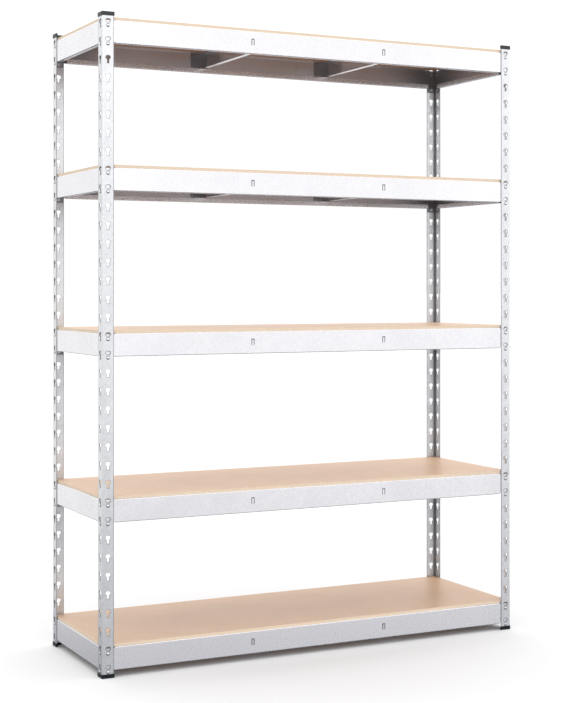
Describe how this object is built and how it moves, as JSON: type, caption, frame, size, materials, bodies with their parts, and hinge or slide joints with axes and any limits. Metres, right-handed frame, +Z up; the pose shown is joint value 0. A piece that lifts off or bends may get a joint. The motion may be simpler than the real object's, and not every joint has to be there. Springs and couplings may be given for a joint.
{
  "type": "boltless steel shelving",
  "caption": "Free-standing rack of loose wood-fibre boards on riveted folded-steel beams, hooked into keyhole-punched angle posts with black plastic caps and feet.",
  "frame": {"origin": "on the floor, under the middle of the rack", "axes": "+Z up, +Y to the back across the depth, +X to the right along the width"},
  "size_m": [1.3324, 0.4384, 1.804],
  "materials": {
    "galvanised_post": "galvanised, satin",
    "galvanised_beam": "galvanised, satin",
    "galvanised_bar": "galvanised, satin",
    "zinc_rivet": "zinc plated, satin",
    "fibre_board": "sanded wood-fibre board, matt",
    "black_plastic": "moulded, satin"
  },
  "bodies": {
    "frame": {"post_front_left_lower": "galvanised_post", "post_front_left_upper": "galvanised_post", "post_front_right_lower": "galvanised_post", "post_front_right_upper": "galvanised_post", "post_back_left_lower": "galvanised_post", "post_back_left_upper": "galvanised_post", "post_back_right_lower": "galvanised_post", "post_back_right_upper": "galvanised_post", "cap_front_left": "black_plastic", "cap_front_right": "black_plastic", "cap_back_left": "black_plastic", "cap_back_right": "black_plastic", "foot_front_left": "black_plastic", "foot_front_right": "black_plastic", "foot_back_left": "black_plastic", "foot_back_right": "black_plastic", "beam_front_1": "galvanised_beam", "beam_front_2": "galvanised_beam", "beam_front_3": "galvanised_beam", "beam_front_4": "galvanised_beam", "beam_front_5": "galvanised_beam", "beam_back_1": "galvanised_beam", "beam_back_2": "galvanised_beam", "beam_back_3": "galvanised_beam", "beam_back_4": "galvanised_beam", "beam_back_5": "galvanised_beam", "beam_left_1": "galvanised_beam", "beam_left_2": "galvanised_beam", "beam_left_3": "galvanised_beam", "beam_left_4": "galvanised_beam", "beam_left_5": "galvanised_beam", "beam_right_1": "galvanised_beam", "beam_right_2": "galvanised_beam", "beam_right_3": "galvanised_beam", "beam_right_4": "galvanised_beam", "beam_right_5": "galvanised_beam", "cross_bar_left_1": "galvanised_bar", "cross_bar_left_2": "galvanised_bar", "cross_bar_left_3": "galvanised_bar", "cross_bar_left_4": "galvanised_bar", "cross_bar_left_5": "galvanised_bar", "cross_bar_right_1": "galvanised_bar", "cross_bar_right_2": "galvanised_bar", "cross_bar_right_3": "galvanised_bar", "cross_bar_right_4": "galvanised_bar", "cross_bar_right_5": "galvanised_bar", "rivets_1": "zinc_rivet", "rivets_2": "zinc_rivet", "rivets_3": "zinc_rivet", "rivets_4": "zinc_rivet", "rivets_5": "zinc_rivet"},
    "board_1": {"board_1": "fibre_board"},
    "board_2": {"board_2": "fibre_board"},
    "board_3": {"board_3": "fibre_board"},
    "board_4": {"board_4": "fibre_board"},
    "board_5": {"board_5": "fibre_board"}
  },
  "joints": [
    {"name": "board_1_lift", "type": "slide", "parent": "frame", "child": "board_1", "axis": [0, 0, 1], "range_m": [0, 0.3]},
    {"name": "board_2_lift", "type": "slide", "parent": "frame", "child": "board_2", "axis": [0, 0, 1], "range_m": [0, 0.35]},
    {"name": "board_3_lift", "type": "slide", "parent": "frame", "child": "board_3", "axis": [0, 0, 1], "range_m": [0, 0.35]},
    {"name": "board_4_lift", "type": "slide", "parent": "frame", "child": "board_4", "axis": [0, 0, 1], "range_m": [0, 0.3]},
    {"name": "board_5_lift", "type": "slide", "parent": "frame", "child": "board_5", "axis": [0, 0, 1], "range_m": [0, 0.3]}
  ]
}
